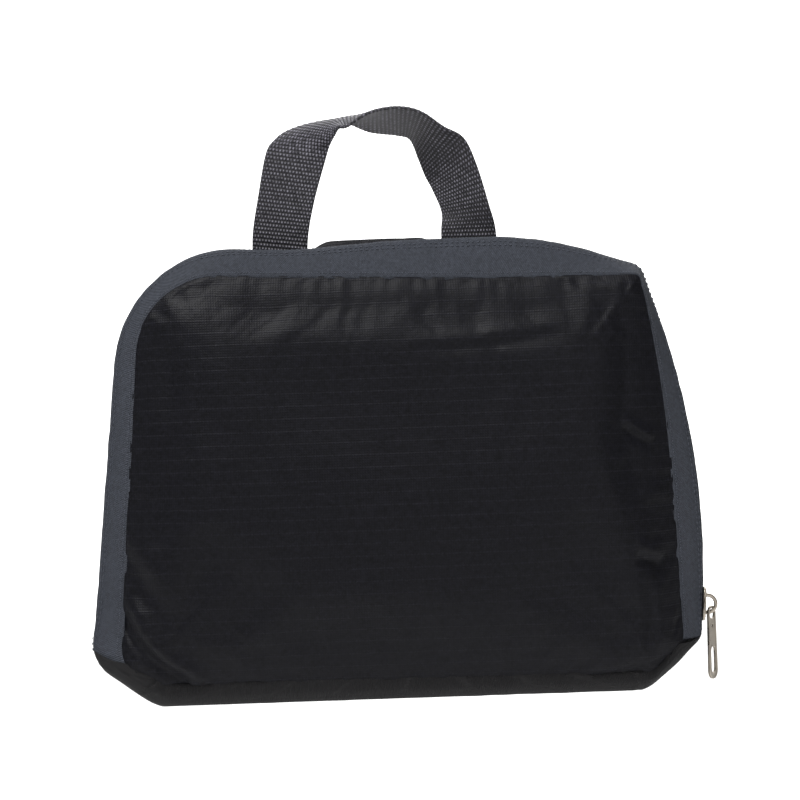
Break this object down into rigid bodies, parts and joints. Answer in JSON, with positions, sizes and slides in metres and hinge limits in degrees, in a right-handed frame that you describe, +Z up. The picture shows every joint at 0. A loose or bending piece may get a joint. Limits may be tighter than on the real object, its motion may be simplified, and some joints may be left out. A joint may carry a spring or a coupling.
{
  "type": "hanging toiletry bag",
  "caption": "Soft two-half toiletry bag in black ripstop with a grey zip band, a zip slider with a pull, and a webbing handle that hangs on a hook.",
  "frame": {"origin": "middle of the flat base strip, in the zip plane", "axes": "+Z up to the handle, -Y out of the front panel, +X to the right in the front view, towards the slider"},
  "size_m": [0.2806, 0.058, 0.2648],
  "materials": {
    "ripstop": "black ripstop nylon, slightly glossy",
    "strip": "plain black nylon, puffy",
    "tape": "blue-grey woven polyester zip tape",
    "coil": "black nylon coil",
    "foam": "thin grey foam padding",
    "lining": "dark grey polyester lining",
    "mesh": "black warp-knit mesh",
    "elastic": "black knitted elastic",
    "binding": "black woven binding tape",
    "webbing": "grey-black woven webbing",
    "nickel": "satin nickel plating on zinc"
  },
  "bodies": {
    "rear_half": {"rear_panel": "ripstop", "rear_zip_tape": "tape", "rear_bottom_strip": "strip", "rear_zip_coil": "coil", "rear_seam_binding": "binding", "rear_foam": "foam", "rear_lining": "lining", "rear_mesh_pocket": "mesh", "rear_pocket_elastic": "elastic", "handle_end_left": "webbing", "handle_end_right": "webbing"},
    "front_half": {"front_panel": "ripstop", "front_zip_tape": "tape", "front_bottom_strip": "strip", "front_zip_coil": "coil", "front_seam_binding": "binding", "front_foam": "foam", "front_lining": "lining", "front_mesh_pocket": "mesh", "front_pocket_elastic": "elastic"},
    "zip_slider": {"slider_body": "nickel"},
    "pull": {"zip_pull": "nickel"},
    "handle": {"handle_webbing": "webbing"}
  },
  "joints": [
    {"name": "front_half_open", "type": "hinge", "parent": "rear_half", "child": "front_half", "pos_m": [0, 0, -0.0003], "axis": [1, 0, 0], "range_deg": [0, 180]},
    {"name": "zip_run", "type": "hinge", "parent": "rear_half", "child": "zip_slider", "pos_m": [-0.2026, 0, 0.0621], "axis": [0, -1, 0], "range_deg": [0, 21]},
    {"name": "pull_swing", "type": "hinge", "parent": "zip_slider", "child": "pull", "pos_m": [0.13983, 0, 0.03635], "axis": [0, -1, 0], "range_deg": [0, 105]},
    {"name": "handle_fold", "type": "hinge", "parent": "rear_half", "child": "handle", "pos_m": [0, 0.0148, 0.2064], "axis": [1, 0, 0], "range_deg": [-85, 80]}
  ]
}
